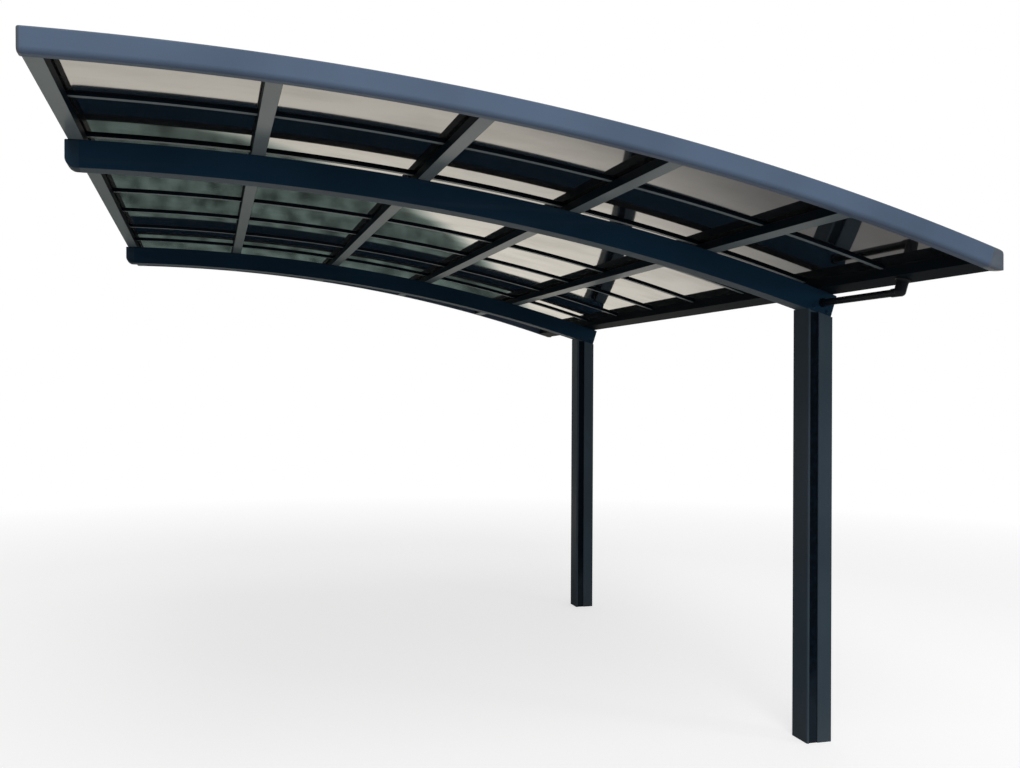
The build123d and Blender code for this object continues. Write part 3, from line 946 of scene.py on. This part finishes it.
def ray(wire, kind):
    """1 for rays of one kind and 0 for all others."""
    return wire.add("ShaderNodeLightPath", {}, {}, f"Is {kind} Ray")


def plain_view(wire):
    """1 for rays from the camera and through clear pieces, which find a white room."""
    return ray(wire, "Camera") + ray(wire, "Transmission")


def in_gloss(wire, rearward, sideward):
    """What rays from glossy pieces find, by how far to the rear or the side they land."""
    return ray(wire, "Glossy") * (ROOM + rearward * (1 - ROOM)) * (1 - sideward * SIDE_WALL)


def ambient(wire):
    """The even light that all other rays find."""
    known = plain_view(wire) + ray(wire, "Glossy")
    return (1 - band(wire, known, 0, 1)) * AMBIENT


def times(wire, colour, strength):
    """A colour made weaker by a strength."""
    values = {0: colour, "Scale": strength}
    return wire.add("ShaderNodeVectorMath", {"operation": "SCALE"}, values, "Vector")


bpy.ops.object.select_all(action="DESELECT")
bpy.ops.mesh.primitive_plane_add(size=FLOOR_SIZE)
floor = bpy.context.object
floor.name = "floor"
floor_values = {"Base Color": FLOOR_TONE, "Roughness": 0.9, "Emission Strength": 1.0}
material, shader, wire = new_finish("pale_floor", floor_values)
place = object_place(wire)
apart = {0: place, 1: ROOF_MIDDLE}
from_roof = wire.add("ShaderNodeVectorMath", {"operation": "DISTANCE"}, apart, "Value")
across = along_axis(wire, place, "X")
depth = along_axis(wire, place, "Y")
far_wall = band(wire, depth - across * FAR_SKEW, *FAR_FLOOR)
folds = band(wire, grain(wire, place, scale=3, detail=4, stretch=(1, 0.25, 1)), 0.35, 0.65)
mirrored = in_gloss(wire, band(wire, depth, *REAR_FLOOR), band(wire, across, *SIDE_FLOOR))
mirrored = mirrored * (1 - far_wall * (FAR_WALL - folds * FAR_FOLDS))
shade = blend(wire, ray(wire, "Glossy"), WHITE, blend(wire, far_wall, WARM_TONE, COOL_TONE))
glow = (plain_view(wire) + mirrored * band(wire, depth, *NEAR_FLOOR)) * FLOOR_GLOW
wire.join(shader, {"Emission Color": times(wire, shade, glow)})
white_room = times(wire, shade, plain_view(wire) + mirrored + ambient(wire))
backdrop = wire.add("ShaderNodeEmission", {}, {"Color": white_room}, "Emission")
lit_floor = Wire(wire.tree, shader.outputs["BSDF"])
faded = {"Fac": band(wire, from_roof, *FADE), 1: lit_floor, 2: backdrop}
surface = wire.add("ShaderNodeMixShader", {}, faded, "Shader")
wire.join(wire.tree.nodes["Material Output"], {"Surface": surface})
floor.data.materials.append(material)

world = bpy.data.worlds.new("surround")
bpy.context.scene.world = world
world.use_nodes = True
wire = Wire(world.node_tree)
direction = wire.add("ShaderNodeTexCoord", {}, {}, "Generated")
across = along_axis(wire, direction, "X")
depth = along_axis(wire, direction, "Y")
sideward = band(wire, across, *SIDE_SKY) + band(wire, 0 - across, *OPEN_SKY)
mirrored = in_gloss(wire, band(wire, depth, *REAR_SKY), sideward)
strength = plain_view(wire) + mirrored + ambient(wire)
wire.join(world.node_tree.nodes["Background"], {"Color": WHITE, "Strength": strength})

for name, place, aim, size, power in LAMPS:
    lamp = bpy.data.lights.new(name, "AREA")
    lamp.size = size
    lamp.energy = power
    holder = bpy.data.objects.new(name, lamp)
    holder.location = place
    holder.rotation_euler = (aim - place).to_track_quat("-Z", "Y").to_euler()
    holder.visible_glossy = False
    bpy.context.collection.objects.link(holder)

camera = bpy.data.objects.new("eye", bpy.data.cameras.new("eye"))
camera.data.lens = LENS
camera.data.sensor_width = SENSOR_WIDTH
tilt = Matrix.Rotation(pi / 2 + PITCH, 4, "X") @ Matrix.Rotation(ROLL, 4, "Z")
camera.matrix_world = Matrix.Translation(EYE) @ Matrix.Rotation(-YAW, 4, "Z") @ tilt
bpy.context.collection.objects.link(camera)
bpy.context.scene.camera = camera
bpy.context.scene.view_settings.view_transform = "Standard"
